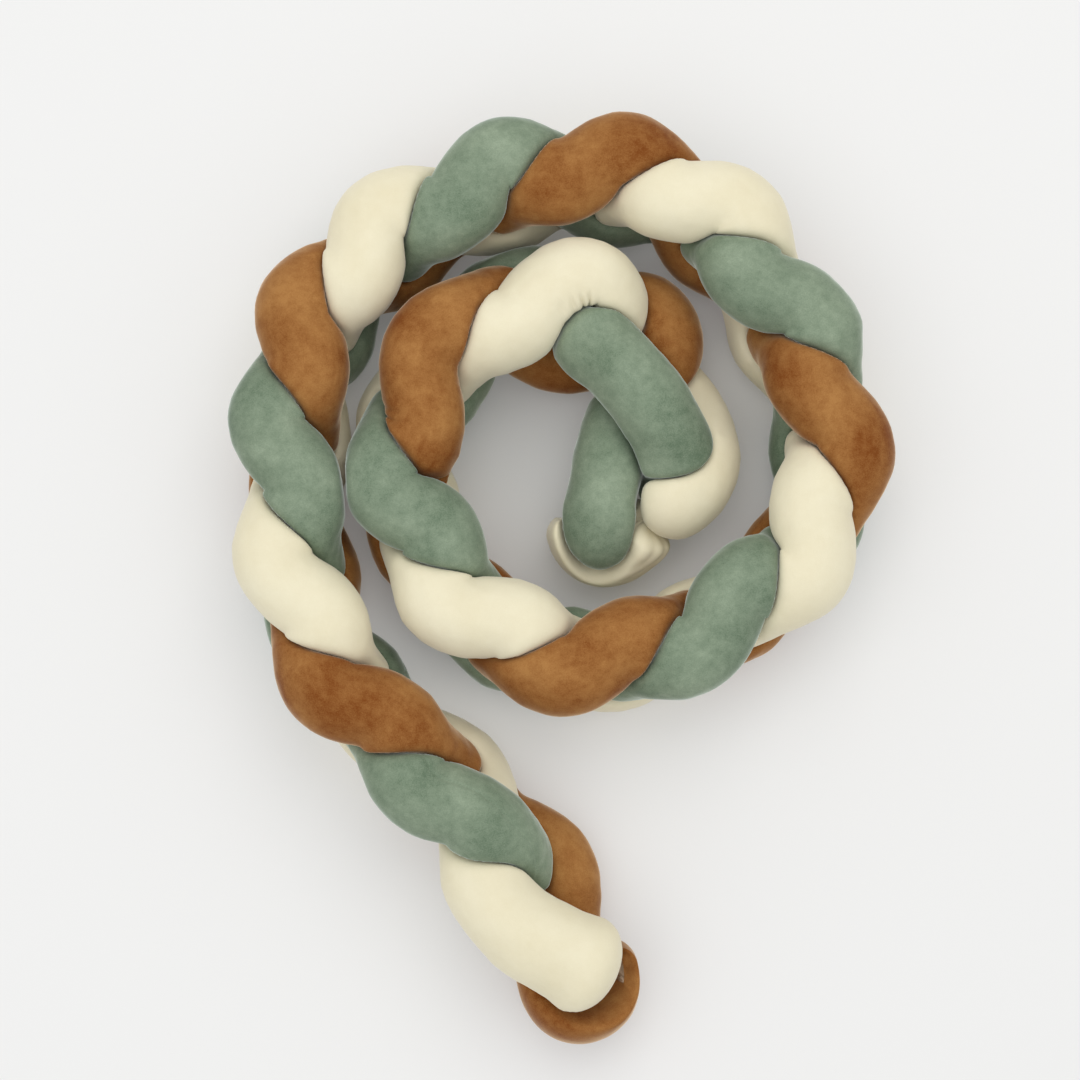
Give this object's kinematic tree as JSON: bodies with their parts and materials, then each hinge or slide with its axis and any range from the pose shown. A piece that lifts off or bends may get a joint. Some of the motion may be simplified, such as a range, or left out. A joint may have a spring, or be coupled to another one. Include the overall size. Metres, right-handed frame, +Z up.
{
  "type": "braided crib bumper",
  "caption": "Long bolster of three stuffed velvet tubes in a flat plait, wound on its edge in a spiral.",
  "frame": {"origin": "middle of the footprint, on the floor the coil stands on", "axes": "+Z up; +Y from the free tail towards the back of the coil; +X to the right of that"},
  "size_m": [0.5753, 0.8102, 0.1478],
  "materials": {
    "cream_velvet": "matt short-pile velvet",
    "green_velvet": "matt short-pile velvet",
    "brown_velvet": "matt short-pile velvet"
  },
  "bodies": {
    "root": {"strand_cream": "cream_velvet", "strand_green": "green_velvet", "strand_brown": "brown_velvet", "strand_green_end": "green_velvet"}
  },
  "joints": []
}
